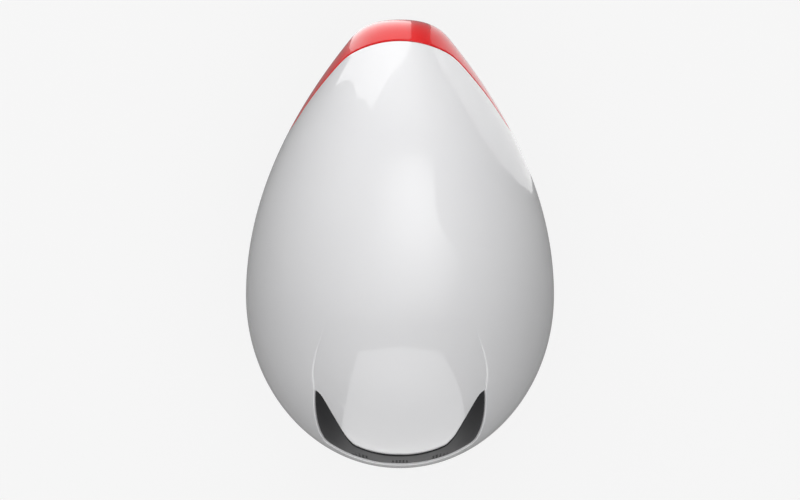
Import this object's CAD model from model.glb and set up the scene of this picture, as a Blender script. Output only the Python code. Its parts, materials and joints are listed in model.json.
import json
import math

import bmesh
import bpy
import numpy as np
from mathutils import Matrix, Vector
from mathutils.bvhtree import BVHTree


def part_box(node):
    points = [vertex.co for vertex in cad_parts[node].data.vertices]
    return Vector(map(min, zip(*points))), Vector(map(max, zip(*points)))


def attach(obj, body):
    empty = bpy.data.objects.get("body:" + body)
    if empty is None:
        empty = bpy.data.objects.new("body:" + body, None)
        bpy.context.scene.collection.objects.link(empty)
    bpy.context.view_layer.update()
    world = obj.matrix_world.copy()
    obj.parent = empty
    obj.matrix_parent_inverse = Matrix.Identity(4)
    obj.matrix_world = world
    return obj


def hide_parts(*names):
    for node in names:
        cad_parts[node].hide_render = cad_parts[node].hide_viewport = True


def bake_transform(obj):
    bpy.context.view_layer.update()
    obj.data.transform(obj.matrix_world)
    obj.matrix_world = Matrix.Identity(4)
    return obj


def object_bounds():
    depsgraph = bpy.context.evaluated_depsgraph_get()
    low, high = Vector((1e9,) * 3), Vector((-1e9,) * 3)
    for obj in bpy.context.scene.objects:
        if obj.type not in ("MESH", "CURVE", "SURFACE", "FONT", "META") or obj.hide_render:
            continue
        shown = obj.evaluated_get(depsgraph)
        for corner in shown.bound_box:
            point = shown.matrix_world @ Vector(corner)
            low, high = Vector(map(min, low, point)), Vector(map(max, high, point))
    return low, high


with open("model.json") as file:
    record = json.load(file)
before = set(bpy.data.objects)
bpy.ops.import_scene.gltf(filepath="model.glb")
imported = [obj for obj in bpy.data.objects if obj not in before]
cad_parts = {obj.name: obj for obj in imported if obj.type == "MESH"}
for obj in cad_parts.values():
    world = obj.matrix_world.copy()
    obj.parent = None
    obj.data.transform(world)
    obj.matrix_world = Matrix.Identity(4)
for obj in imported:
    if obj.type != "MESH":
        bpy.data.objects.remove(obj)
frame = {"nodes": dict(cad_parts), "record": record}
cad_low, cad_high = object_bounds()
nodes = frame["nodes"]

# sizes in millimetres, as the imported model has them
MM = 0.001
helmet_length, helmet_width = 313.0, 215.0
crown_height, under_depth, waist_z = 125.0, 182.0, 8.0
shell_wall, lens_wall, seam_gap, lens_gap = 2.8, 2.2, 0.4, 0.5
half_width = helmet_width / 2
front_share = 0.386
front_reach = front_share * helmet_length
far = helmet_length


# colours and materials


def colour(code):
    """Turns an sRGB hex colour into the linear one that a shader wants."""
    parts = [int(code[i:i + 2], 16) / 255 for i in (1, 3, 5)]
    linear = [c / 12.92 if c <= 0.04045 else ((c + 0.055) / 1.055) ** 2.4 for c in parts]
    return (*linear, 1.0)


def add_node(tree, kind, settings=None, links=None):
    """Adds a node: settings go to its sockets or its options, links join other sockets to its inputs."""
    node = tree.nodes.new(kind)
    for name, value in (settings or {}).items():
        if isinstance(name, int) or name in node.inputs:
            node.inputs[name].default_value = value
        else:
            setattr(node, name, value)
    for name, socket in (links or {}).items():
        tree.links.new(socket, node.inputs[name])
    return node


def new_material(name, settings):
    """A material with one Principled shader; returns it with its tree, shader and object coordinates."""
    material = bpy.data.materials.new(name)
    material.use_nodes = True
    tree = material.node_tree
    tree.nodes.clear()
    shader = add_node(tree, "ShaderNodeBsdfPrincipled", settings)
    add_node(tree, "ShaderNodeOutputMaterial", links={"Surface": shader.outputs[0]})
    coords = add_node(tree, "ShaderNodeTexCoord")
    return material, tree, shader, coords.outputs["Object"]


def gloss_paint(name, code, deep_code, lacquer=1.0):
    """Gloss paint under clear lacquer on moulded polycarbonate: even colour, crisp highlights, and the
    faintest orange peel, drawn at its real size."""
    cloud_mm, peel_mm, peel_depth_mm = 70.0, 3.0, 0.2
    material, tree, shader, place = new_material(
        name,
        {"Roughness": 0.3, "IOR": 1.5, "Specular IOR Level": 0.25, "Coat Weight": lacquer,
         "Coat Roughness": 0.012, "Coat IOR": 1.55},
    )
    cloud = add_node(
        tree, "ShaderNodeTexNoise", {"Scale": 1 / (cloud_mm * MM), "Detail": 2.0}, {"Vector": place}
    )
    mixed = add_node(
        tree, "ShaderNodeMix", {"data_type": "RGBA", 6: colour(code), 7: colour(deep_code)},
        {0: cloud.outputs["Fac"]},
    )
    tree.links.new(mixed.outputs[2], shader.inputs["Base Color"])
    peel = add_node(
        tree, "ShaderNodeTexNoise", {"Scale": 1 / (peel_mm * MM), "Detail": 1.0}, {"Vector": place}
    )
    bump = add_node(
        tree, "ShaderNodeBump", {"Strength": 0.02, "Distance": peel_depth_mm * MM},
        {"Height": peel.outputs["Fac"]},
    )
    tree.links.new(bump.outputs[0], shader.inputs["Normal"])
    tree.links.new(bump.outputs[0], shader.inputs["Coat Normal"])
    return material


def moulded(name, code, worn_code, roughness, grain_mm, relief, shine=0.5):
    """Injection-moulded plastic or rubber: a spark-eroded grain of grain_mm that breaks up its highlight,
    and a roughness that drifts a little, as handling leaves it."""
    drift_mm, grain_depth_mm, drift_by = 25.0, 0.2, 0.06
    material, tree, shader, place = new_material(name, {"IOR": 1.5, "Specular IOR Level": shine})
    grain = add_node(
        tree, "ShaderNodeTexNoise", {"Scale": 1 / (grain_mm * MM), "Detail": 2.0}, {"Vector": place}
    )
    drift = add_node(
        tree, "ShaderNodeTexNoise", {"Scale": 1 / (drift_mm * MM), "Detail": 3.0}, {"Vector": place}
    )
    tone = add_node(
        tree, "ShaderNodeMix", {"data_type": "RGBA", 6: colour(code), 7: colour(worn_code)},
        {0: drift.outputs["Fac"]},
    )
    tree.links.new(tone.outputs[2], shader.inputs["Base Color"])
    rough = add_node(
        tree, "ShaderNodeMapRange", {"To Min": roughness - drift_by, "To Max": roughness + drift_by},
        {"Value": drift.outputs["Fac"]},
    )
    tree.links.new(rough.outputs[0], shader.inputs["Roughness"])
    bump = add_node(
        tree, "ShaderNodeBump", {"Strength": relief, "Distance": grain_depth_mm * MM},
        {"Height": grain.outputs["Fac"]},
    )
    tree.links.new(bump.outputs[0], shader.inputs["Normal"])
    return material


def bead_foam():
    """Expanded polystyrene, steam-moulded from beads: rounded cells of slightly different greys with
    darker joints, and a dull skin."""
    bead_mm, joint_depth_mm = 3.0, 0.4
    material, tree, shader, place = new_material("eps_bead_foam", {"Roughness": 0.62, "IOR": 1.45})
    cells = add_node(tree, "ShaderNodeTexVoronoi", {"Scale": 1 / (bead_mm * MM)}, {"Vector": place})
    edges = add_node(
        tree, "ShaderNodeTexVoronoi", {"feature": "DISTANCE_TO_EDGE", "Scale": 1 / (bead_mm * MM)},
        {"Vector": place},
    )
    joint = add_node(tree, "ShaderNodeMapRange", {"From Max": 0.12}, {"Value": edges.outputs["Distance"]})
    shade = add_node(
        tree, "ShaderNodeMix", {"data_type": "RGBA", 6: colour("#1D1D1F"), 7: colour("#3A3A3D")},
        {0: joint.outputs[0]},
    )
    speck = add_node(tree, "ShaderNodeHueSaturation", {"Saturation": 0.0}, {"Color": cells.outputs["Color"]})
    varied = add_node(
        tree, "ShaderNodeMix", {"data_type": "RGBA", "blend_type": "SOFT_LIGHT", 0: 0.35},
        {6: shade.outputs[2], 7: speck.outputs[0]},
    )
    tree.links.new(varied.outputs[2], shader.inputs["Base Color"])
    bump = add_node(
        tree, "ShaderNodeBump", {"Strength": 0.5, "Distance": joint_depth_mm * MM},
        {"Height": joint.outputs[0]},
    )
    tree.links.new(bump.outputs[0], shader.inputs["Normal"])
    return material


def knit_fabric():
    """Brushed polyester knit over soft foam: ribs crossed by finer courses, matt with a soft sheen."""
    rib_mm, course_mm, loop_depth_mm = 1.1, 0.8, 0.3
    # a wave texture repeats 3.18 times for each unit of its scale
    wave_unit = 0.314
    material, tree, shader, place = new_material(
        "brushed_knit", {"Roughness": 0.92, "Sheen Weight": 0.35, "Sheen Roughness": 0.5}
    )
    slack = {"Distortion": 0.6, "Detail": 1.0, "Detail Scale": 2.0}
    ribs = add_node(
        tree, "ShaderNodeTexWave", {"bands_direction": "X", "Scale": wave_unit / (rib_mm * MM), **slack},
        {"Vector": place},
    )
    courses = add_node(
        tree, "ShaderNodeTexWave",
        {"bands_direction": "DIAGONAL", "Scale": wave_unit / (course_mm * MM), **slack}, {"Vector": place},
    )
    loops = add_node(
        tree, "ShaderNodeMath", {"operation": "MULTIPLY"},
        {0: ribs.outputs["Fac"], 1: courses.outputs["Fac"]},
    )
    tone = add_node(
        tree, "ShaderNodeMix", {"data_type": "RGBA", 6: colour("#212125"), 7: colour("#4A4A52")},
        {0: loops.outputs[0]},
    )
    tree.links.new(tone.outputs[2], shader.inputs["Base Color"])
    bump = add_node(
        tree, "ShaderNodeBump", {"Strength": 0.4, "Distance": loop_depth_mm * MM},
        {"Height": loops.outputs[0]},
    )
    tree.links.new(bump.outputs[0], shader.inputs["Normal"])
    return material


def woven_webbing():
    """Woven polyester webbing: a chevron of thick yarns that follows the strap, crossed by its warp. It is
    matt, with a faint sheen where it is seen at a low angle."""
    chevron_mm, warp_mm, yarn_depth_mm = 2.0, 1.0, 0.3
    material, tree, shader, _ = new_material("woven_webbing", {"Roughness": 0.7, "Sheen Weight": 0.25})
    along = add_node(tree, "ShaderNodeUVMap", {"uv_map": "strap"})
    split = add_node(tree, "ShaderNodeSeparateXYZ", links={0: along.outputs[0]})
    across = add_node(tree, "ShaderNodeMath", {"operation": "ABSOLUTE"}, {0: split.outputs[0]})
    slant = add_node(
        tree, "ShaderNodeMath", {"operation": "ADD"}, {0: across.outputs[0], 1: split.outputs[1]}
    )
    yarn = add_node(
        tree, "ShaderNodeMath", {"operation": "MULTIPLY", 1: 2 * math.pi / chevron_mm}, {0: slant.outputs[0]}
    )
    wave = add_node(tree, "ShaderNodeMath", {"operation": "SINE"}, {0: yarn.outputs[0]})
    thread = add_node(
        tree, "ShaderNodeMath", {"operation": "MULTIPLY", 1: 2 * math.pi / warp_mm}, {0: split.outputs[0]}
    )
    warp = add_node(tree, "ShaderNodeMath", {"operation": "SINE"}, {0: thread.outputs[0]})
    weave = add_node(
        tree, "ShaderNodeMath", {"operation": "ADD"}, {0: wave.outputs[0], 1: warp.outputs[0]}
    )
    level = add_node(
        tree, "ShaderNodeMapRange", {"From Min": -2.0, "From Max": 2.0}, {"Value": weave.outputs[0]}
    )
    tone = add_node(
        tree, "ShaderNodeMix", {"data_type": "RGBA", 6: colour("#18181A"), 7: colour("#3C3C42")},
        {0: level.outputs[0]},
    )
    tree.links.new(tone.outputs[2], shader.inputs["Base Color"])
    bump = add_node(
        tree, "ShaderNodeBump", {"Strength": 0.5, "Distance": yarn_depth_mm * MM},
        {"Height": level.outputs[0]},
    )
    tree.links.new(bump.outputs[0], shader.inputs["Normal"])
    return material


def smoked_polycarbonate():
    """Injection-moulded polycarbonate with a smoke tint and a hard coat: clear, dark and very smooth."""
    film_mm = 40.0
    material, tree, shader, place = new_material(
        "smoked_polycarbonate",
        {"Base Color": colour("#4A4B50"), "IOR": 1.58, "Transmission Weight": 1.0, "Coat Weight": 0.6,
         "Coat Roughness": 0.02},
    )
    film = add_node(
        tree, "ShaderNodeTexNoise", {"Scale": 1 / (film_mm * MM), "Detail": 2.0}, {"Vector": place}
    )
    rough = add_node(
        tree, "ShaderNodeMapRange", {"To Min": 0.02, "To Max": 0.05}, {"Value": film.outputs["Fac"]}
    )
    tree.links.new(rough.outputs[0], shader.inputs["Roughness"])
    return material


def plated_metal(name, code, roughness, line_mm):
    """Plated steel, tumbled and barely brushed: fine lines of line_mm that only blur its highlight."""
    line_depth_mm, blur_by = 0.1, 0.08
    material, tree, shader, place = new_material(name, {"Metallic": 1.0, "Base Color": colour(code)})
    stretched = add_node(tree, "ShaderNodeMapping", {"Scale": (1.0, 0.1, 1.0)}, {"Vector": place})
    lines = add_node(
        tree, "ShaderNodeTexNoise", {"Scale": 1 / (line_mm * MM), "Detail": 2.0},
        {"Vector": stretched.outputs[0]},
    )
    rough = add_node(
        tree, "ShaderNodeMapRange", {"To Min": roughness - blur_by, "To Max": roughness + blur_by},
        {"Value": lines.outputs["Fac"]},
    )
    tree.links.new(rough.outputs[0], shader.inputs["Roughness"])
    bump = add_node(
        tree, "ShaderNodeBump", {"Strength": 0.06, "Distance": line_depth_mm * MM},
        {"Height": lines.outputs["Fac"]},
    )
    tree.links.new(bump.outputs[0], shader.inputs["Normal"])
    return material


# painted shell: mirror-like highlights over an even colour, with less lacquer on the red, which stays deep
white_paint = gloss_paint("gloss_white_polycarbonate", "#E4E4E5", "#DFDFE1")
red_paint = gloss_paint("gloss_red_polycarbonate", "#DE0A0E", "#D2080C", 0.7)
# nylon from fine-grained moulds: a dull satin in the tray, a soft gleam on trim and ring
tray_nylon = moulded("satin_grey_nylon", "#1E1E20", "#242426", 0.45, 0.5, 0.1, 0.2)
trim_nylon = moulded("satin_black_nylon", "#19191B", "#1F1F22", 0.42, 0.5, 0.12)
ring_nylon = moulded("moulded_black_nylon", "#202023", "#28282B", 0.38, 0.4, 0.08)
# acetal from smoother moulds: a waxy gloss, milky on the gear and black on the buckle
gear_acetal = moulded("natural_acetal", "#E3E1D8", "#DAD8CF", 0.34, 0.6, 0.04)
buckle_acetal = moulded("black_acetal", "#161618", "#1C1C1E", 0.32, 0.5, 0.06)
# soft-touch rubber and spun thread: matt, with hardly a highlight
knob_rubber = moulded("soft_touch_rubber", "#2A2A2C", "#323234", 0.68, 0.35, 0.2)
thread_polyester = moulded("grey_polyester_thread", "#6A6A6E", "#58585C", 0.75, 0.3, 0.3)
foam = bead_foam()
knit = knit_fabric()
webbing = woven_webbing()
smoke = smoked_polycarbonate()
# nickel is warmer and smoother than the bluish zinc of the screws
magnet_nickel = plated_metal("nickel_plated_magnet", "#C9C4BA", 0.24, 0.3)
screw_zinc = plated_metal("zinc_plated_screw", "#A9AAAD", 0.3, 0.25)

slot_of = {entry["node"]: entry["material_slot"] for entry in frame["record"]["subparts"]}
paint_of_slot = {
    "shell_white": white_paint, "fairing_red": red_paint, "trim_black": trim_nylon, "tray_grey": tray_nylon,
    "foam_grey": foam, "magnet_nickel": magnet_nickel, "pad_fabric": knit, "lens_smoke": smoke,
    "ring_nylon": ring_nylon, "screw_steel": screw_zinc, "gear_acetal": gear_acetal,
    "knob_grey": knob_rubber, "web_black": webbing, "buckle_black": buckle_acetal,
}
for name, node in nodes.items():
    node.data.materials.clear()
    node.data.materials.append(paint_of_slot[slot_of[name]])


# outlines, as lists of points in a flat view


def pulled_curve(points, steps):
    """A curve from the first point to the last one, pulled towards those between them."""
    t = np.linspace(0, 1, steps)[:, None]
    degree = len(points) - 1
    weights = [math.comb(degree, i) * (1 - t) ** (degree - i) * t ** i for i in range(degree + 1)]
    return sum(weight * np.array(point, float) for weight, point in zip(weights, points))


def rounded_path(points, radius, steps=16, close=True):
    """A run of straight lines with each corner rounded to radius."""
    points = np.array(points, float)
    rounded = []
    count = len(points)
    for i, corner in enumerate(points):
        if not close and i in (0, count - 1):
            rounded.append(corner)
            continue
        back, ahead = points[i - 1] - corner, points[(i + 1) % count] - corner
        back, ahead = back / np.linalg.norm(back), ahead / np.linalg.norm(ahead)
        half = math.acos(np.clip(back @ ahead, -1, 1)) / 2
        reach = radius / math.tan(half)
        middle = corner + (back + ahead) / np.linalg.norm(back + ahead) * radius / math.sin(half)
        start, end = corner + back * reach - middle, corner + ahead * reach - middle
        turn = math.acos(np.clip(start @ end / radius ** 2, -1, 1))
        for share in np.linspace(0, 1, steps):
            mixed = math.sin((1 - share) * turn) * start + math.sin(share * turn) * end
            rounded.append(middle + mixed / math.sin(turn))
    return np.array(rounded)


def smooth_through(points, steps=12):
    """A smooth line through points, by cubic spans that lean on their neighbours."""
    p = np.array(points, float)
    p = np.vstack([2 * p[0] - p[1], p, 2 * p[-1] - p[-2]])
    t = np.linspace(0, 1, steps, endpoint=False)[:, None]
    line = []
    for a, b, c, d in zip(p, p[1:], p[2:], p[3:]):
        slope, bend, twist = c - a, 2 * a - 5 * b + 4 * c - d, 3 * b - a - 3 * c + d
        line.append(0.5 * (2 * b + slope * t + bend * t ** 2 + twist * t ** 3))
    return np.vstack([*line, p[-2:-1]])


def arc_through(a, b, c, steps):
    """Points on the circle through three points, from a to c."""
    (ax, ay), (bx, by), (cx, cy) = a, b, c
    d = 2 * (ax * (by - cy) + bx * (cy - ay) + cx * (ay - by))
    ux = ((ax**2 + ay**2) * (by - cy) + (bx**2 + by**2) * (cy - ay) + (cx**2 + cy**2) * (ay - by)) / d
    uy = ((ax**2 + ay**2) * (cx - bx) + (bx**2 + by**2) * (ax - cx) + (cx**2 + cy**2) * (bx - ax)) / d
    radius = math.hypot(ax - ux, ay - uy)
    start, end = math.atan2(ay - uy, ax - ux), math.atan2(cy - uy, cx - ux)
    angles = np.linspace(start, end, steps)
    return np.column_stack([ux + radius * np.cos(angles), uy + radius * np.sin(angles)])


def inside_distance(outline, places):
    """Signed distance to a closed outline, positive inside, with the direction towards the inside."""
    starts, ends = outline, np.roll(outline, -1, axis=0)
    runs = ends - starts
    lengths = np.maximum((runs ** 2).sum(1), 1e-12)
    best = np.full(len(places), 1e9)
    towards = np.zeros((len(places), 2))
    crossings = np.zeros(len(places), int)
    x, y = places[:, 0], places[:, 1]
    for (ax, ay), (bx, by), (rx, ry), length in zip(starts, ends, runs, lengths):
        share = np.clip(((x - ax) * rx + (y - ay) * ry) / length, 0, 1)
        gap_x, gap_y = x - ax - share * rx, y - ay - share * ry
        distance = np.hypot(gap_x, gap_y)
        nearer = distance < best
        best = np.where(nearer, distance, best)
        towards[nearer, 0], towards[nearer, 1] = gap_x[nearer], gap_y[nearer]
        if ay != by:
            crossings += ((ay > y) != (by > y)) & (x < rx * (y - ay) / (by - ay) + ax)
    sign = np.where(crossings % 2 == 1, 1.0, -1.0)
    towards *= (sign / np.maximum(best, 1e-9))[:, None]
    return best * sign, towards


# the lower rim, the fairing's seam and the lens, seen from the side as (y, z)
rim_radius, seam_radius = 28, 14
rim_run = np.array(
    [(-far, -8), (-82, -8), (-60, -30), (-45, -66), (34, -66), (84, -22), (190, -14), (far, -14)], float
)
above_all = [(far, far), (-far, far)]
rim_line = rounded_path([*rim_run, *above_all], rim_radius)
over_lens_line = rounded_path([*(rim_run - lens_gap), *above_all], rim_radius)
seam_run = np.array(
    [(far, 67.5), (190, 67.5), (166, 36.5), (150, 33.2), (116, 22.6), (104, -40), (104, -far)]
)
seam_line = rounded_path([*seam_run, (far, -far)], seam_radius)
fairing_line = rounded_path([*(seam_run + (seam_gap, -seam_gap)), (far, -far)], seam_radius)
lens_low = smooth_through(
    [(-far, -46), (-150, -46), (-112, -46), (-92, -60), (-70, -67), (-50, -60), (-40, -42)], 12
)
lens_line = np.vstack([lens_low, [(-40, -8), (-far, -8)]])

# the brow slot and the sunken tongue behind it, seen from above as (x, y): one half, then its mirror image
slot_right = [(50.3, -103.2), (58, -97), (60.5, -80), (59.1, -64.5)]
lip_right = smooth_through([(59.1, -64.5), (54.7, -69.0), (46.4, -84), (38.6, -98.0), (32.6, -105.2)], 8)
slot_half = np.vstack([
    arc_through((0, -118.1), (26.8, -114.4), (50.3, -103.2), 24)[:-1], pulled_curve(slot_right, 24)[:-1],
    lip_right[:-1], arc_through((32.6, -105.2), (17, -110.8), (0, -112.5), 16),
])
slot_line = np.vstack([slot_half, (slot_half * (-1, 1))[::-1][1:-1]])
crease = smooth_through([(51, -17.5), (55.1, -30.8), (57.9, -39.8), (60, -52.4), (59.2, -64.6)], 10)
tongue_half = np.vstack([crease, [(42.5, -103.2), (33, -108.7), (0, -115.3)]])
tongue_line = np.vstack([tongue_half[:-1], (tongue_half * (-1, 1))[::-1]])[::-1]

# the outlet in the tail and the middles of the three ducts, seen from behind as (x, z) and as x
outlet_line = rounded_path([(-16, -8), (16, -8), (16, 4), (-16, 4)], 4, 8)
duct_places = (-28.3, 0.0, 28.3)


class Skin:
    """A sheet of faces on the helmet's outer form, with a point and an outward normal at each corner."""

    def __init__(self, points, normals, faces):
        self.points, self.normals, self.faces = points, normals, faces

    def reach(self, outline, flat):
        """Signed distance along the skin to an outline drawn in the flat view of two axes."""
        steepest = 0.3
        distance, towards = inside_distance(outline, self.points[:, flat])
        lean = (towards * self.normals[:, flat]).sum(1)
        return distance / np.maximum(np.sqrt(np.maximum(1 - lean ** 2, 0)), steepest)

    def split(self, value):
        """Adds corners where value passes zero; returns the faces on its positive and its negative side."""
        snap = 0.02
        value = np.where(np.abs(value) < snap, 0.0, value)
        made, points, normals = {}, [], []
        inside, outside = [], []
        for face in self.faces:
            levels = [value[i] for i in face]
            if min(levels) >= 0:
                inside.append(face)
                continue
            if max(levels) <= 0:
                outside.append(face)
                continue
            kept, dropped = [], []
            for here, there, a, b in zip(face, face[1:] + face[:1], levels, levels[1:] + levels[:1]):
                if a >= 0:
                    kept.append(here)
                if a <= 0:
                    dropped.append(here)
                if a * b < 0:
                    key = (min(here, there), max(here, there))
                    if key not in made:
                        made[key] = len(self.points) + len(points)
                        share = a / (a - b)
                        for corners, source in ((points, self.points), (normals, self.normals)):
                            corners.append(source[here] + share * (source[there] - source[here]))
                    kept.append(made[key])
                    dropped.append(made[key])
            inside.append(kept)
            outside.append(dropped)
        if points:
            self.points = np.vstack([self.points, points])
            self.normals = np.vstack([self.normals, normals])
        return inside, outside

    def keep(self, outline, flat, inside=True):
        """Keeps only what lies inside, or outside, an outline."""
        sides = self.split(self.reach(outline, flat))
        self.faces = sides[0 if inside else 1]

    def ring(self, outline, flat, distances):
        """Adds rows of corners beside an edge, for its rounding."""
        for distance in distances:
            inside, outside = self.split(self.reach(outline, flat) - distance)
            self.faces = inside + outside


def planform(stations):
    """Evenly spaced points on the planform: how far back each lies and how wide it is there."""
    def place(length_share, width_share):
        return (length_share * helmet_length - front_reach, width_share * half_width)
    # how far along its sides the two middle points lie where the curve is a quarter of an ellipse
    quarter = 0.5523
    front_shares = [(0, 0), (0, quarter), (front_share * (1 - quarter), 1), (front_share, 1)]
    flank_shares = [(front_share, 1), (0.626, 1), (0.825, 0.6315), (0.955, 0.326)]
    tail_shares = [(0.955, 0.326), (0.988, 0.2485), (1, 0.155), (1, 0)]
    front = pulled_curve([place(*share) for share in front_shares], 300)
    flank = pulled_curve([place(*share) for share in flank_shares], 400)
    end = pulled_curve([place(*share) for share in tail_shares], 120)
    line = np.vstack([front[:-1], flank[:-1], end])
    steps = np.hypot(*np.diff(line, axis=0).T)
    travelled = np.concatenate([[0], np.cumsum(steps)])
    wanted = np.linspace(0, travelled[-1], stations + 1)
    ys, widths = np.interp(wanted, travelled, line[:, 0]), np.interp(wanted, travelled, line[:, 1])
    widths[0] = widths[-1] = 0
    return ys, widths


def egg_skin(stations, turns):
    """The helmet's outer form as a sheet: its planform turned about its long axis."""
    ys, widths = planform(stations)
    slopes = np.gradient(ys), np.gradient(widths)
    turns_at = np.linspace(0, 2 * math.pi, turns, endpoint=False)
    cos, sin = np.cos(turns_at), np.sin(turns_at)
    stretch = np.where(sin >= 0, crown_height, under_depth) / half_width
    points, normals = [], []
    for y, width, run_y, run_w in zip(ys[1:-1], widths[1:-1], slopes[0][1:-1], slopes[1][1:-1]):
        points.append(np.column_stack([width * cos, np.full(turns, y), waist_z + stretch * width * sin]))
        normal = np.column_stack([run_y * cos, np.full(turns, -run_w), run_y * sin / stretch])
        normals.append(normal / np.linalg.norm(normal, axis=1)[:, None])
    points.append([(0, ys[0], waist_z), (0, ys[-1], waist_z)])
    normals.append([(0, -1, 0), (0, 1, 0)])
    points, normals = np.vstack(points), np.vstack(normals)
    faces = []
    for row in range(stations - 2):
        for turn in range(turns):
            after = (turn + 1) % turns
            a, b = row * turns + turn, row * turns + after
            faces.append([a, a + turns, b + turns, b])
    tip, tail = len(points) - 2, len(points) - 1
    last = (stations - 2) * turns
    for turn in range(turns):
        after = (turn + 1) % turns
        faces.append([tip, turn, after])
        faces.append([tail, last + after, last + turn])
    return Skin(points, normals, faces)


planform_ys, planform_widths = planform(2000)
tongue_axis_y, tongue_pitch = -14.0, math.radians(1.2)
tongue_deepest, tongue_low_z = 12.0, 30.0


def tongue_depth(points):
    """How far the tongue lies below the skin: the same skin, leaned about the crown."""
    x, y, z = points.T
    crest_z = waist_z + crown_height
    sin, cos = math.sin(tongue_pitch), math.cos(tongue_pitch)
    low, high = z - tongue_deepest, z.copy()
    halvings = 24
    for _ in range(halvings):
        middle = (low + high) / 2
        back_y = tongue_axis_y + (y - tongue_axis_y) * cos + (middle - crest_z) * sin
        back_z = crest_z - (y - tongue_axis_y) * sin + (middle - crest_z) * cos
        width = np.interp(back_y, planform_ys, planform_widths)
        crown = waist_z + crown_height / half_width * np.sqrt(np.maximum(width ** 2 - x ** 2, 0))
        above = back_z > crown
        high, low = np.where(above, middle, high), np.where(above, low, middle)
    return np.where((z > tongue_low_z) & (y < tongue_axis_y), z - (low + high) / 2, 0)


def rounding(distance, radius):
    """How far an edge's rounding sinks the skin at a distance from that edge."""
    near = np.clip(radius - distance, 0, radius)
    return radius - np.sqrt(radius ** 2 - near ** 2)


def build_piece(name, points, faces, material, slot_name):
    """A mesh object from points in millimetres, smooth but for its sharp edges."""
    sharp_degrees = 30.0
    used = sorted({i for face in faces for i in face})
    index = {old: new for new, old in enumerate(used)}
    mesh = bpy.data.meshes.new(name)
    places = [tuple(p) for p in np.asarray(points)[used] * MM]
    mesh.from_pydata(places, [], [[index[i] for i in face] for face in faces])
    mesh.validate()
    mesh.polygons.foreach_set("use_smooth", [True] * len(mesh.polygons))
    mesh.set_sharp_from_angle(angle=math.radians(sharp_degrees))
    mesh.materials.append(material)
    piece = bpy.data.objects.new(name, mesh)
    bpy.context.scene.collection.objects.link(piece)
    return piece


def open_edges(faces):
    """The edges that only one face uses, in the direction in which it runs."""
    edges = {}
    for face in faces:
        for a, b in zip(face, face[1:] + face[:1]):
            edges[(a, b)] = True
    return [(a, b) for a, b in edges if (b, a) not in edges]


def thicken(points, under, faces):
    """Closes a skin into a body: its faces, the same ones turned over at under, and a wall at each edge."""
    count = len(points)
    closed = list(faces) + [[i + count for i in reversed(face)] for face in faces]
    closed += [[b, a, a + count, b + count] for a, b in open_edges(faces)]
    return np.vstack([points, under]), closed


def cut_out(skin, cuts, rows):
    """Cuts a skin along outlines, each with its flat view and whether its inside stays, and adds rows of
    corners for the rounded edges."""
    for outline, flat, inside in cuts:
        skin.keep(outline, flat, inside)
    for outline, flat, inside in cuts:
        skin.ring(outline, flat, rows if inside else [-row for row in rows])


def edge_fall(skin, cuts, radius):
    """How far the rounded edges of the cuts sink a skin."""
    return np.max([rounding(np.abs(skin.reach(outline, flat)), radius) for outline, flat, _ in cuts], axis=0)


def walled(skin, fall, wall):
    """A closed panel: the skin, sunken by fall, outside and the plain skin a wall further in."""
    outside = skin.points - skin.normals * fall[:, None]
    return thicken(outside, skin.points - skin.normals * wall, skin.faces)


# the white shell, with the sunken tongue behind the brow slot
side_view, top_view, back_view = [1, 2], [0, 1], [0, 2]
edge_rows = (0.06, 0.25, 0.55, 0.9)
crease_rows = (-0.15, -0.45, -0.9)
edge_radius, slot_radius, crease_most, crease_least = 0.9, 0.5, 0.9, 0.01
shell_grid, tail_grid, lens_grid = (190, 300), (190, 260), (170, 260)

shell = egg_skin(*shell_grid)
shell_cuts = [(rim_line, side_view, True), (seam_line, side_view, False)]
slot_cut = [(slot_line, top_view, False)]
cut_out(shell, shell_cuts + slot_cut, edge_rows)
shell.ring(tongue_line, top_view, crease_rows)
tongue_faces, main_faces = shell.split(shell.reach(tongue_line, top_view))
low = shell.points[:, 2] < waist_z
tongue_faces, wrong = [f for f in tongue_faces if not low[f[0]]], [f for f in tongue_faces if low[f[0]]]
main_faces += wrong

skin_points, skin_normals = shell.points, shell.normals
edge_drop = np.maximum(edge_fall(shell, shell_cuts, edge_radius), edge_fall(shell, slot_cut, slot_radius))
sunk = tongue_depth(skin_points)
off_tongue = np.maximum(-shell.reach(tongue_line, top_view), 0)
crease_radius = np.clip(sunk, crease_least, crease_most)
crease_drop = rounding(off_tongue, crease_radius) * np.clip(sunk / crease_most, 0, 1)
crease_drop[skin_points[:, 2] < waist_z] = 0
main_drop = np.maximum(edge_drop, np.minimum(crease_drop, crease_most))
main_points = skin_points - skin_normals * main_drop[:, None]
tongue_points = skin_points - skin_normals * edge_drop[:, None] - np.outer(sunk, (0, 0, 1))
count = len(skin_points)
points = np.vstack([main_points, tongue_points])
inner_points = skin_points - skin_normals * shell_wall
under = np.vstack([inner_points, inner_points - np.outer(sunk, (0, 0, 1))])
faces = main_faces + [[i + count for i in face] for face in tongue_faces]
shared = {i for face in main_faces for i in face} & {i for face in tongue_faces for i in face}
edge_of_tongue = [(a, b) for a, b in open_edges(tongue_faces) if a in shared and b in shared]
steps = [[a + count, b + count, b, a][::-1] for a, b in edge_of_tongue]
points, faces = thicken(points, under, faces + steps)
white_shell = build_piece("white_shell", points, faces, white_paint, "shell_white")
merge = white_shell.modifiers.new("merge", "WELD")
merge.merge_threshold = 0.02 * MM
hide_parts("outer_shell")
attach(white_shell, "helmet")

# the satin tray that fills the brow slot, a little below the shell, with a net over each of its three ducts
tray_gap, tray_depth, tray_back, tray_edge = 0.3, 1.2, 3.8, 0.5
tray_rows = (0.05, 0.2, 0.5)
net_columns, net_rows = 5, 3
net_pitch_x, net_pitch_z, net_bar = 2.4, 3.0, 0.7
net_half, net_low_z = 6.0, 36.0

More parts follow.
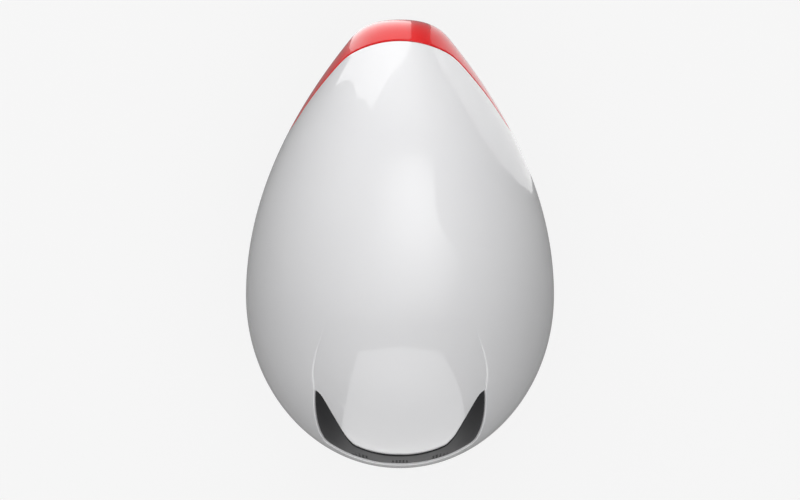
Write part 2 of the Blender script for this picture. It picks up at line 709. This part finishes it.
tray = egg_skin(*shell_grid)
tray.faces = [face for face in tray.faces if tray.points[face[0], 2] > waist_z]
tray.faces = tray.split(tray.reach(slot_line, top_view) - tray_gap)[0]
tray.ring(slot_line, top_view, [tray_gap + row for row in tray_rows])
kept = sorted({i for face in tray.faces for i in face})
order = {old: new for new, old in enumerate(kept)}
tray = Skin(tray.points[kept], tray.normals[kept], [[order[i] for i in face] for face in tray.faces])
for x in duct_places:
    for column in range(net_columns):
        for row in range(net_rows):
            left = x - net_half + net_pitch_x * column + net_bar / 2
            low = net_low_z + net_pitch_z * row + net_bar / 2
            right, high = left + net_pitch_x - net_bar, low + net_pitch_z - net_bar
            hole = np.array([(left, low), (right, low), (right, high), (left, high)])
            tray.keep(hole, back_view, inside=False)
fall = tray_depth + rounding(np.abs(tray.reach(slot_line, top_view)) - tray_gap, tray_edge)
satin_tray = build_piece("satin_tray", *walled(tray, fall, tray_back), tray_nylon, "tray_grey")
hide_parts("intake_tray")
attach(satin_tray, "helmet")

# the red fairing round the tail, with its outlet
tail = egg_skin(*tail_grid)
tail_cuts = [(rim_line, side_view, True), (fairing_line, side_view, True), (outlet_line, back_view, False)]
cut_out(tail, tail_cuts, edge_rows)
fall = edge_fall(tail, tail_cuts, edge_radius)
red_fairing = build_piece("red_fairing", *walled(tail, fall, shell_wall), red_paint, "fairing_red")
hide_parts("tail_fairing")
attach(red_fairing, "helmet")

# the shield's lens
lens_radius, lens_rows = 0.7, (0.05, 0.2, 0.45, 0.7)
lens = egg_skin(*lens_grid)
lens_cuts = [(lens_line, side_view, True), (over_lens_line, side_view, False)]
cut_out(lens, lens_cuts, lens_rows)
fall = edge_fall(lens, lens_cuts, lens_radius)
smoked_lens = build_piece("smoked_lens", *walled(lens, fall, lens_wall), smoke, "lens_smoke")
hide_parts("shield_lens")
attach(smoked_lens, "shield")


# sewn work: shared steps


def vertices_of(mesh):
    """The corner places of a mesh as an array, in metres."""
    flat = np.empty(len(mesh.vertices) * 3)
    mesh.vertices.foreach_get("co", flat)
    return flat.reshape(-1, 3)


def plain_copy(piece):
    """A piece's mesh with its modifiers applied."""
    evaluated = piece.evaluated_get(bpy.context.evaluated_depsgraph_get())
    return bpy.data.meshes.new_from_object(evaluated)


def blown_up(mesh):
    """A mesh's corner places after some frames as inflated cloth without gravity."""
    frames, pressure, cloth_mass, stiffness = 20, 4.0, 0.15, 12
    trial = bpy.data.objects.new("trial", mesh.copy())
    bpy.context.scene.collection.objects.link(trial)
    cloth = trial.modifiers.new("cloth", "CLOTH")
    cloth.settings.use_pressure = True
    cloth.settings.uniform_pressure_force = pressure
    cloth.settings.effector_weights.gravity = 0
    cloth.settings.mass = cloth_mass
    cloth.settings.tension_stiffness = cloth.settings.compression_stiffness = stiffness
    for frame_number in range(1, frames + 1):
        bpy.context.scene.frame_set(frame_number)
    result = vertices_of(plain_copy(trial))
    bpy.context.scene.frame_set(1)
    bpy.data.objects.remove(trial)
    return result


# thread: rows of stitches on the webbing and down the quilting, set out by geometry nodes


def stitch_maker():
    """A node tree that lays short beads of thread along the edges it's given."""
    tree = bpy.data.node_groups.new("stitch_row", "GeometryNodeTree")
    tree.interface.new_socket("Lines", in_out="INPUT", socket_type="NodeSocketGeometry")
    for label in ("Pitch", "Length", "Radius"):
        tree.interface.new_socket(label, in_out="INPUT", socket_type="NodeSocketFloat")
    tree.interface.new_socket("Thread", in_out="INPUT", socket_type="NodeSocketMaterial")
    tree.interface.new_socket("Stitches", in_out="OUTPUT", socket_type="NodeSocketGeometry")
    given = add_node(tree, "NodeGroupInput").outputs
    curve = add_node(tree, "GeometryNodeMeshToCurve", links={"Mesh": given["Lines"]})
    spaced = add_node(
        tree, "GeometryNodeResampleCurve", {"mode": "LENGTH"},
        {"Curve": curve.outputs[0], "Length": given["Pitch"]},
    )
    run = add_node(tree, "GeometryNodeInputTangent")
    turned = add_node(tree, "FunctionNodeAlignRotationToVector", {"axis": "Z"}, {"Vector": run.outputs[0]})
    half = add_node(tree, "ShaderNodeMath", {"operation": "MULTIPLY", 1: 0.5}, {0: given["Length"]})
    size = add_node(
        tree, "ShaderNodeCombineXYZ",
        links={"X": given["Radius"], "Y": given["Radius"], "Z": half.outputs[0]},
    )
    bead = add_node(tree, "GeometryNodeMeshUVSphere", {"Segments": 8, "Rings": 6, "Radius": 1.0})
    row = add_node(
        tree, "GeometryNodeInstanceOnPoints",
        links={"Points": spaced.outputs[0], "Instance": bead.outputs[0], "Rotation": turned.outputs[0],
               "Scale": size.outputs[0]},
    )
    solid = add_node(tree, "GeometryNodeRealizeInstances", links={0: row.outputs[0]})
    sewn = add_node(
        tree, "GeometryNodeSetMaterial", links={"Geometry": solid.outputs[0], "Material": given["Thread"]}
    )
    add_node(tree, "NodeGroupOutput", links={"Stitches": sewn.outputs[0]})
    return tree


stitch_row = stitch_maker()


def sew(name, lines, body, pitch_mm=2.6, length_mm=2.0, radius_mm=0.3):
    """Stitches along lines of points in millimetres, as one mesh that rides a body."""
    points = [tuple(np.array(p) * MM) for line in lines for p in line]
    edges, start = [], 0
    for line in lines:
        edges += [(start + i, start + i + 1) for i in range(len(line) - 1)]
        start += len(line)
    mesh = bpy.data.meshes.new(name)
    mesh.from_pydata(points, edges, [])
    piece = bpy.data.objects.new(name, mesh)
    bpy.context.scene.collection.objects.link(piece)
    rows = piece.modifiers.new("rows", "NODES")
    rows.node_group = stitch_row
    values = {
        "Pitch": pitch_mm * MM, "Length": length_mm * MM, "Radius": radius_mm * MM,
        "Thread": thread_polyester,
    }
    for socket in stitch_row.interface.items_tree:
        if socket.name in values:
            rows[socket.identifier] = values[socket.name]
    piece.data = plain_copy(piece)
    piece.modifiers.clear()
    piece.data.polygons.foreach_set("use_smooth", [True] * len(piece.data.polygons))
    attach(piece, body)
    return piece


def sewn_down(piece, channels, along, across, towards):
    """Lines down a pad's channels, found by looking at the pad from inside the helmet."""
    side_margin, end_margin, step_mm, proud_mm, fewest = 5.0, 3.0, 1.3, 0.1, 4
    surface = BVHTree.FromPolygons(
        [v.co for v in piece.data.vertices], [p.vertices for p in piece.data.polygons]
    )
    places = vertices_of(piece.data) / MM
    low, high = places.min(0), places.max(0)
    rows = []
    for value in channels:
        if not low[across] + side_margin < value < high[across] - side_margin:
            continue
        line = []
        for reach in np.arange(low[along] + end_margin, high[along] - end_margin, step_mm):
            start = np.zeros(3)
            start[across], start[along] = value, reach
            found = surface.ray_cast(Vector(start * MM), Vector(towards))[0]
            if found:
                line.append(np.array(found) / MM - np.array(towards) * proud_mm)
        if len(line) >= fewest:
            rows.append(line)
    return rows


# comfort pads: each CAD pad is remeshed, blown up as cloth, then quilted


def grown_from(name, piece_name, voxel_mm, plump_mm, outward_mm, middle):
    """A sewn pad that fills the space of a node: it swells towards the head and stays off its backing."""
    mesh = nodes[name].data.copy()
    mesh.name = piece_name
    piece = bpy.data.objects.new(piece_name, mesh)
    bpy.context.scene.collection.objects.link(piece)
    merge = piece.modifiers.new("merge", "WELD")
    merge.merge_threshold = 0.01 * MM
    voxels = piece.modifiers.new("remesh", "REMESH")
    voxels.mode, voxels.voxel_size = "VOXEL", voxel_mm * MM
    voxels.use_smooth_shade = True
    soften = piece.modifiers.new("soften", "SMOOTH")
    soften.factor, soften.iterations = 0.5, 3
    solid = plain_copy(piece)
    start = vertices_of(solid)
    moved = blown_up(solid) - start
    away = start - np.array(middle) * MM
    away /= np.linalg.norm(away, axis=1)[:, None]
    out = (moved * away).sum(1)
    moved -= away * (out - np.clip(out, -plump_mm * MM, outward_mm * MM))[:, None]
    length = np.linalg.norm(moved, axis=1)
    moved *= (np.minimum(length, plump_mm * MM) / np.maximum(length, 1e-9))[:, None]
    start = start + moved
    solid.vertices.foreach_set("co", start.ravel())
    piece.modifiers.clear()
    piece.data = solid
    return piece


def quilted(piece, gap_to_channel, depth_mm, half_mm, middle):
    """Presses sewn channels into a pad: gap_to_channel gives each corner's distance to the nearest one."""
    places = vertices_of(piece.data) / MM
    near = np.exp(-(gap_to_channel(places) / half_mm) ** 2)
    away = places - np.array(middle)
    away /= np.linalg.norm(away, axis=1)[:, None]
    normals = np.empty(len(places) * 3)
    piece.data.vertices.foreach_get("normal", normals)
    facing = np.clip(-(normals.reshape(-1, 3) * away).sum(1), 0, 1)
    places += away * (near * facing * depth_mm)[:, None]
    piece.data.vertices.foreach_set("co", (places * MM).ravel())
    piece.data.update()


def finished_pad(piece, node, body):
    """Subdivides a pad once, gives it its knit and hands it over."""
    piece.modifiers.new("smooth", "SUBSURF").levels = 1
    piece.modifiers["smooth"].render_levels = 1
    piece.data.materials.clear()
    piece.data.materials.append(knit)
    piece.data.polygons.foreach_set("use_smooth", [True] * len(piece.data.polygons))
    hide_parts(node)
    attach(piece, body)


# each pad in the helmet: the gap between its channels, where the first lies, the axis that they run along,
# the axis that spaces them, and the way from the head to the pad
head_middle = (0, 3, 0)
helmet_pads = {
    "brow_pad": (28, 14, 2, 0, (0, -1, 0)),
    "rear_pad": (40, 0, 2, 0, (0, 1, 0)),
    "side_pad_left": (26, 6, 2, 1, (1, 0, 0)),
    "side_pad_right": (26, 6, 2, 1, (-1, 0, 0)),
    "crown_pad_left": (26, 0, 0, 1, (0, 0, 1)),
    "crown_pad_right": (26, 0, 0, 1, (0, 0, 1)),
}
pad_voxel, pad_plump, pad_outward = 2.0, 1.6, 0.2
channel_depth, channel_half, channels_end = 1.5, 1.8, 120
pad_rows = []
for node, (step, first, along, across, towards) in helmet_pads.items():
    piece = grown_from(node, f"sewn_{node}", pad_voxel, pad_plump, pad_outward, head_middle)
    quilted(
        piece, lambda p: np.abs(np.mod(p[:, across] - first + step / 2, step) - step / 2), channel_depth,
        channel_half, head_middle,
    )
    pad_rows += sewn_down(piece, np.arange(first - 4 * step, channels_end, step), along, across, towards)
    finished_pad(piece, node, "helmet")
sew("quilting_thread", pad_rows, "helmet", 2.4, 1.8, 0.28)

# the thin pads on the fit ring and under the chin
ring_voxel, ring_plump, ring_outward, thin_fill = 1.2, 0.7, 0.1, 0.5
chin_voxel, chin_plump = 1.1, 0.5
for word in ("left", "right"):
    node = f"wing_pad_{word}"
    piece = grown_from(node, f"sewn_{node}", ring_voxel, ring_plump, ring_outward, head_middle)
    finished_pad(piece, node, f"wing_{word}")
piece = grown_from("cradle_pad", "sewn_cradle_pad", ring_voxel, ring_plump, ring_outward, head_middle)
finished_pad(piece, "cradle_pad", "fit_ring")
chin_low, chin_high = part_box("chin_pad")
chin_middle = tuple((chin_low + chin_high) / 2 / MM)
piece = grown_from("chin_pad", "sewn_chin_pad", chin_voxel, chin_plump, chin_plump, chin_middle)
finished_pad(piece, "chin_pad", "helmet")


# webbing: woven ribbons along the straps' own lines
web_width, web_wall, web_tuck = 15.0, 1.4, 6.0


def ribbon_section():
    """Half the strap's rounded section and its mirror image, as places across and through the strap."""
    half, thick = web_width / 2, web_wall / 2
    rounded, nearly, flattened = 0.9, 0.25, 0.75
    right = [(half - rounded, thick), (half - nearly, thick * flattened), (half, 0)]
    right += [(half - nearly, -thick * flattened), (half - rounded, -thick), (half / 2, -thick), (0, -thick)]
    return right + [(-a, -b) for a, b in right[:-1]] + [(0, thick), (half / 2, thick)]


def travel(line):
    """How far along a line each of its points lies."""
    return np.concatenate([[0], np.cumsum(np.linalg.norm(np.diff(line, axis=0), axis=1))])


def ribbon(name, line, across, node, body="helmet"):
    """A woven strap of rounded section along a line of points, laid flat on a direction."""
    sharp_degrees = 70.0
    line, across = np.array(line, float), np.array(across, float)
    across /= np.linalg.norm(across)
    runs = np.gradient(line, axis=0)
    runs /= np.linalg.norm(runs, axis=1)[:, None]
    rises = np.cross(runs, across)
    rises /= np.linalg.norm(rises, axis=1)[:, None]
    section = ribbon_section()
    count = len(section)
    travelled = travel(line)
    points = [p + across * a + rise * b for p, rise in zip(line, rises) for a, b in section]
    faces = []
    for row in range(len(line) - 1):
        for i in range(count):
            j = (i + 1) % count
            faces.append([row * count + i, row * count + j, (row + 1) * count + j, (row + 1) * count + i])
    last = (len(line) - 1) * count
    faces += [list(range(count))[::-1], [last + i for i in range(count)]]
    mesh = bpy.data.meshes.new(name)
    mesh.from_pydata([tuple(p) for p in np.array(points) * MM], [], faces)
    mesh.update()
    layer = mesh.uv_layers.new(name="strap")
    for loop in mesh.loops:
        row, i = divmod(loop.vertex_index, count)
        layer.data[loop.index].uv = (section[i][0], travelled[row])
    repair = bmesh.new()
    repair.from_mesh(mesh)
    bmesh.ops.recalc_face_normals(repair, faces=repair.faces)
    repair.to_mesh(mesh)
    repair.free()
    mesh.polygons.foreach_set("use_smooth", [True] * len(mesh.polygons))
    mesh.set_sharp_from_angle(angle=math.radians(sharp_degrees))
    mesh.materials.append(webbing)
    piece = bpy.data.objects.new(name, mesh)
    bpy.context.scene.collection.objects.link(piece)
    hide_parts(node)
    if body:
        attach(piece, body)
    return piece


def straight(start, end, step=3.0):
    """Evenly spaced points on a straight run."""
    start, end = np.array(start, float), np.array(end, float)
    count = max(int(np.linalg.norm(end - start) / step), 2)
    return start + np.linspace(0, 1, count + 1)[:, None] * (end - start)


# box-and-cross tacks: half their width, how far they run along the strap, and how proud the thread lies
tack_half, tack_run, tack_proud = 5.0, 11.0, 0.05


def tacks(line, across, begin):
    """The lines of one box-and-cross tack on both faces of a strap, from a distance along its line."""
    line, across = np.array(line, float), np.array(across, float)
    across /= np.linalg.norm(across)
    travelled = travel(line)

    def on_strap(share_along, share_across, face):
        distance = begin + share_along * tack_run
        place = np.array([np.interp(distance, travelled, line[:, i]) for i in range(3)])
        ahead = np.array([np.interp(distance + 1, travelled, line[:, i]) for i in range(3)])
        rise = np.cross(ahead - place, across)
        rise /= np.linalg.norm(rise)
        return place + across * share_across * tack_half + rise * face * (web_wall / 2 + tack_proud)

    corners = [(0, -1), (1, -1), (1, 1), (0, 1), (0, -1), (1, 1), (1, -1), (0, 1)]
    rows = []
    for face in (-1, 1):
        rows += [
            [on_strap(*a, face), on_strap((a[0] + b[0]) / 2, (a[1] + b[1]) / 2, face), on_strap(*b, face)]
            for a, b in zip(corners, corners[1:])
        ]
    return rows


# the side straps, seen from the side as (y, z): each runs from its anchor to the divider below the ear
divider, chin = np.array((-16.0, -76.0)), np.array((-58.0, -128.0))
strap_ends = {"front": (73.6, np.array((-36.0, -17.0))), "rear": (72.0, np.array((38.0, -46.0)))}
tack_start, chin_tack_start = 9.0, 14.0
strap_rows = []
for word, side in (("left", 1), ("right", -1)):
    for which, (inner_x, anchor) in strap_ends.items():
        run = divider - anchor
        end = anchor + run * (1 - web_tuck / np.linalg.norm(run))
        x = side * (inner_x + web_wall / 2)
        line = straight((x, *anchor), (x, *end))
        ribbon(f"{which}_webbing_{word}", line, (0, -run[1], run[0]), f"{which}_strap_{word}")
        strap_rows += tacks(line, (0, -run[1], run[0]), tack_start)

# the chin strap's plane slopes from the dividers to the chin
chin_run = chin - divider
chin_depth = math.hypot(*chin_run)
chin_normal = np.array((0, -chin_run[1], chin_run[0])) / chin_depth
chin_down = np.cross(chin_normal, (1, 0, 0))
chin_top_x, chin_top_depth = 73.4, 6.0
chin_side_x, chin_side_share, chin_flat_x, chin_radius = 60.0, 0.68, 20.0, 20
socket_reach, tongue_reach = 11.75, 15.95


def on_chin(flat):
    """Points of the chin strap's plane in space."""
    return np.array([np.array((u, *divider)) + chin_down * v for u, v in flat])


def evenly(flat, step=3.0):
    """The same line with evenly spaced points."""
    travelled = travel(flat)
    wanted = np.linspace(0, travelled[-1], int(travelled[-1] / step) + 1)
    return np.column_stack([np.interp(wanted, travelled, flat[:, i]) for i in range(2)])


run_start = np.array((chin_side_x, chin_side_share * chin_depth))
run_end = np.array((chin_flat_x, chin_depth))
run_along = (run_end - run_start) / np.linalg.norm(run_end - run_start)
buckle_middle = (run_start + run_end) / 2
left_flat = rounded_path(
    [(chin_top_x, chin_top_depth), run_start, buckle_middle - run_along * socket_reach], chin_radius,
    close=False,
)
right_flat = rounded_path(
    [buckle_middle + run_along * tongue_reach, run_end, (-chin_flat_x, chin_depth),
     (-chin_side_x, chin_side_share * chin_depth), (-chin_top_x, chin_top_depth)], chin_radius, close=False,
)
left_line, right_line = on_chin(evenly(left_flat)), on_chin(evenly(right_flat))
ribbon("chin_webbing_left", left_line, chin_normal, "chin_strap_left")
chin_right = ribbon("chin_webbing_right", right_line, chin_normal, "chin_strap_right", "")
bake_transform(chin_right)
strap_rows += tacks(left_line, chin_normal, chin_tack_start)
sew("strap_thread", strap_rows, "helmet")


# floor, background, light and camera
floor_mesh = bpy.data.meshes.new("floor")
floor_z, floor_half, floor_gap = cad_low.z, 6, 0.001
floor_z -= floor_gap
floor_corners = [(x * floor_half, y * floor_half, floor_z) for x, y in ((-1, -1), (1, -1), (1, 1), (-1, 1))]
floor_mesh.from_pydata(floor_corners, [], [(0, 1, 2, 3)])
floor = bpy.data.objects.new("floor", floor_mesh)
bpy.context.scene.collection.objects.link(floor)

# pale paper: matt where light falls on it, dim in gloss, and nearly plain to the camera but for the shadow
paper = bpy.data.materials.new("pale_paper")
paper.use_nodes = True
tree = paper.node_tree
tree.nodes.clear()
matt = add_node(tree, "ShaderNodeBsdfDiffuse", {"Color": colour("#D8D8D8")})
dusk = add_node(tree, "ShaderNodeEmission", {"Color": colour("#F6F6F6"), "Strength": 0.3})
glow = add_node(tree, "ShaderNodeEmission", {"Color": colour("#FAFAFA"), "Strength": 1.0})
ray = add_node(tree, "ShaderNodeLightPath")
mirrored = add_node(
    tree, "ShaderNodeMixShader",
    links={0: ray.outputs["Is Glossy Ray"], 1: matt.outputs[0], 2: dusk.outputs[0]},
)
seen = add_node(tree, "ShaderNodeMath", {"operation": "MULTIPLY", 1: 0.9}, {0: ray.outputs["Is Camera Ray"]})
blend = add_node(
    tree, "ShaderNodeMixShader", links={0: seen.outputs[0], 1: mirrored.outputs[0], 2: glow.outputs[0]}
)
add_node(tree, "ShaderNodeOutputMaterial", links={"Surface": blend.outputs[0]})
floor_mesh.materials.append(paper)

world = bpy.data.worlds.new("studio")
bpy.context.scene.world = world
world.use_nodes = True
tree = world.node_tree
tree.nodes.clear()
ray = add_node(tree, "ShaderNodeLightPath")
room = add_node(tree, "ShaderNodeBackground", {"Strength": 0.29})
plain = add_node(tree, "ShaderNodeBackground", {"Color": colour("#F6F6F6"), "Strength": 1.0})
blend = add_node(
    tree, "ShaderNodeMixShader",
    links={0: ray.outputs["Is Camera Ray"], 1: room.outputs[0], 2: plain.outputs[0]},
)
add_node(tree, "ShaderNodeOutputWorld", links={"Surface": blend.outputs[0]})


def softbox(name, place, target, width, height, radiance):
    """A rectangular studio light of a given brightness that faces its target. Gloss mirrors the cards
    instead of it."""
    lamp = bpy.data.lights.new(name, "AREA")
    lamp.shape, lamp.size, lamp.size_y = "RECTANGLE", width, height
    lamp.energy = radiance * math.pi * width * height
    light = bpy.data.objects.new(name, lamp)
    light.location = place
    light.rotation_euler = (Vector(target) - Vector(place)).to_track_quat("-Z", "Y").to_euler()
    light.visible_glossy = False
    bpy.context.scene.collection.objects.link(light)


softbox("top_light", (0.0, 0.1, 1.6), (0, 0, 0), 1.8, 1.8, 1.72)
softbox("rear_light", (0.1, 1.9, 0.5), (0, 0.1, 0.0), 1.2, 0.7, 6.7)
softbox("left_light", (-1.2, 1.4, 0.7), (0, 0.05, 0.0), 0.9, 0.7, 2.0)
softbox("front_light", (0.0, -1.4, 1.1), (0, -0.08, 0.05), 1.2, 0.8, 1.7)

# how far from its middle a fading card starts to fall off, and where it is down to its edge brightness
fade_start, fade_end = 0.2, 1.8


def card(name, corners, radiance, middle=None, edge=0.0):
    """A bright card that only gloss reflects. With a middle, it fades from there to the edge brightness."""
    material = bpy.data.materials.new(name)
    material.use_nodes = True
    tree = material.node_tree
    tree.nodes.clear()
    light = add_node(tree, "ShaderNodeEmission", {"Strength": radiance})
    if middle:
        place = add_node(tree, "ShaderNodeTexCoord")
        gap = add_node(
            tree, "ShaderNodeVectorMath", {"operation": "DISTANCE", 1: middle}, {0: place.outputs["Object"]}
        )
        soft = add_node(
            tree, "ShaderNodeMapRange",
            {"interpolation_type": "SMOOTHSTEP", "From Min": fade_start, "From Max": fade_end,
             "To Min": radiance, "To Max": edge}, {"Value": gap.outputs["Value"]},
        )
        tree.links.new(soft.outputs[0], light.inputs["Strength"])
    add_node(tree, "ShaderNodeOutputMaterial", links={"Surface": light.outputs[0]})
    mesh = bpy.data.meshes.new(name)
    mesh.from_pydata(corners, [], [list(range(len(corners)))])
    mesh.materials.append(material)
    piece = bpy.data.objects.new(name, mesh)
    for ray_kind in ("camera", "diffuse", "transmission", "volume_scatter", "shadow"):
        setattr(piece, f"visible_{ray_kind}", False)
    bpy.context.scene.collection.objects.link(piece)


# the cards' outlines in metres, laid where the lacquer mirrors the edges of the photograph's highlights:
# one overhead, three upright ones and three just above the floor
ceiling_z, rear_y, tail_y, front_y = 1.6, 1.21, 1.2, -1.2
card_lift = 0.002
low_z = floor_z + card_lift
ceiling = [
    (-0.62, 2.13), (0.0, 2.14), (0.86, 2.42), (1.81, 2.78), (1.36, 2.05), (1.13, 1.34), (1.19, 1.04),
    (1.42, 0.86), (2.1, 0.7), (2.71, 0.64), (1.62, 0.08), (1.21, -0.37), (0.71, -0.52), (0.34, -0.52),
    (-0.09, -0.41), (-0.38, -0.36), (-0.47, 0.06), (-0.71, 0.45), (-0.79, 0.8), (-0.88, 1.21),
    (-0.95, 1.72), (-0.84, 2.05),
]
rear_wall = [
    (-0.55, -0.19), (0.7, -0.19), (0.63, 0.23), (0.54, 0.49), (0.39, 0.66), (-0.37, 0.67), (-0.48, 0.51),
]
tail_wall = [
    (-0.88, -0.19), (0.273, -0.19), (0.273, 0.078), (0.043, 0.219), (-0.24, 0.272), (-0.42, 0.325),
    (-0.552, 0.348), (-0.612, 0.23), (-0.8, 0.06),
]
tail_floor = [
    (-0.036, 0.196), (-0.06, 0.207), (-0.105, 0.238), (-0.127, 0.256), (-0.176, 0.308), (-0.212, 0.344),
    (-0.267, 0.344), (-0.37, 0.5), (-0.724, 1.018), (-0.86, 1.2), (0.25, 1.2), (0.166, 0.861),
    (0.073, 0.508), (0.035, 0.353), (0.015, 0.253),
]
side_floor = [
    (0.029, 0.215), (0.09, 0.31), (0.19, 0.432), (0.311, 0.575), (0.345, 0.623), (0.382, 0.676),
    (0.448, 0.673), (0.471, 0.596), (0.499, 0.501), (0.505, 0.422), (0.4, 0.266), (0.265, 0.151),
    (0.18, 0.1), (0.1, 0.09), (0.06, 0.18),
]
front_wall = [
    (-0.7, -0.19), (-0.807, 0.31), (-1.036, 1.24), (-0.5, 1.5), (0.0, 1.67), (0.5, 1.5), (1.036, 1.24),
    (0.95, 0.31), (0.863, -0.19),
]
front_floor = [
    (-0.86, -1.2), (-0.515, -0.887), (-0.166, -0.332), (-0.08, -0.2), (0.08, -0.2), (0.174, -0.313),
    (0.846, -1.18), (0.863, -1.2),
]
card("ceiling_card", [(x, y, ceiling_z) for x, y in ceiling], 1.7, (0.7, 1.35, ceiling_z), 0.3)
card("back_card", [(x, rear_y, z) for x, z in rear_wall], 0.3)
card("tail_card", [(x, tail_y, z) for x, z in tail_wall], 1.8)
card("tail_floor_card", [(x, y, low_z) for x, y in tail_floor], 1.7)
card("side_floor_card", [(x, y, low_z) for x, y in side_floor], 1.0)
card("front_card", [(x, front_y, z) for x, z in front_wall], 1.3)
card("front_floor_card", [(x, y, low_z) for x, y in front_floor], 1.45)

# the camera looks straight down on the helmet's middle, from so far that 0.698 mm fills a pixel at the waist
focal_mm, sensor_mm, clip_end = 400, 36, 20
photo_width_px, pixel_mm, view_middle_y = 800, 0.698, 0.0314
view_width = photo_width_px * pixel_mm * MM
camera_data = bpy.data.cameras.new("view_from_above")
camera_data.lens, camera_data.sensor_width, camera_data.clip_end = focal_mm, sensor_mm, clip_end
camera = bpy.data.objects.new("view_from_above", camera_data)
camera.location = (0, view_middle_y, view_width * focal_mm / sensor_mm + waist_z * MM)
bpy.context.scene.collection.objects.link(camera)
bpy.context.scene.camera = camera
bpy.context.scene.view_settings.view_transform = "Standard"
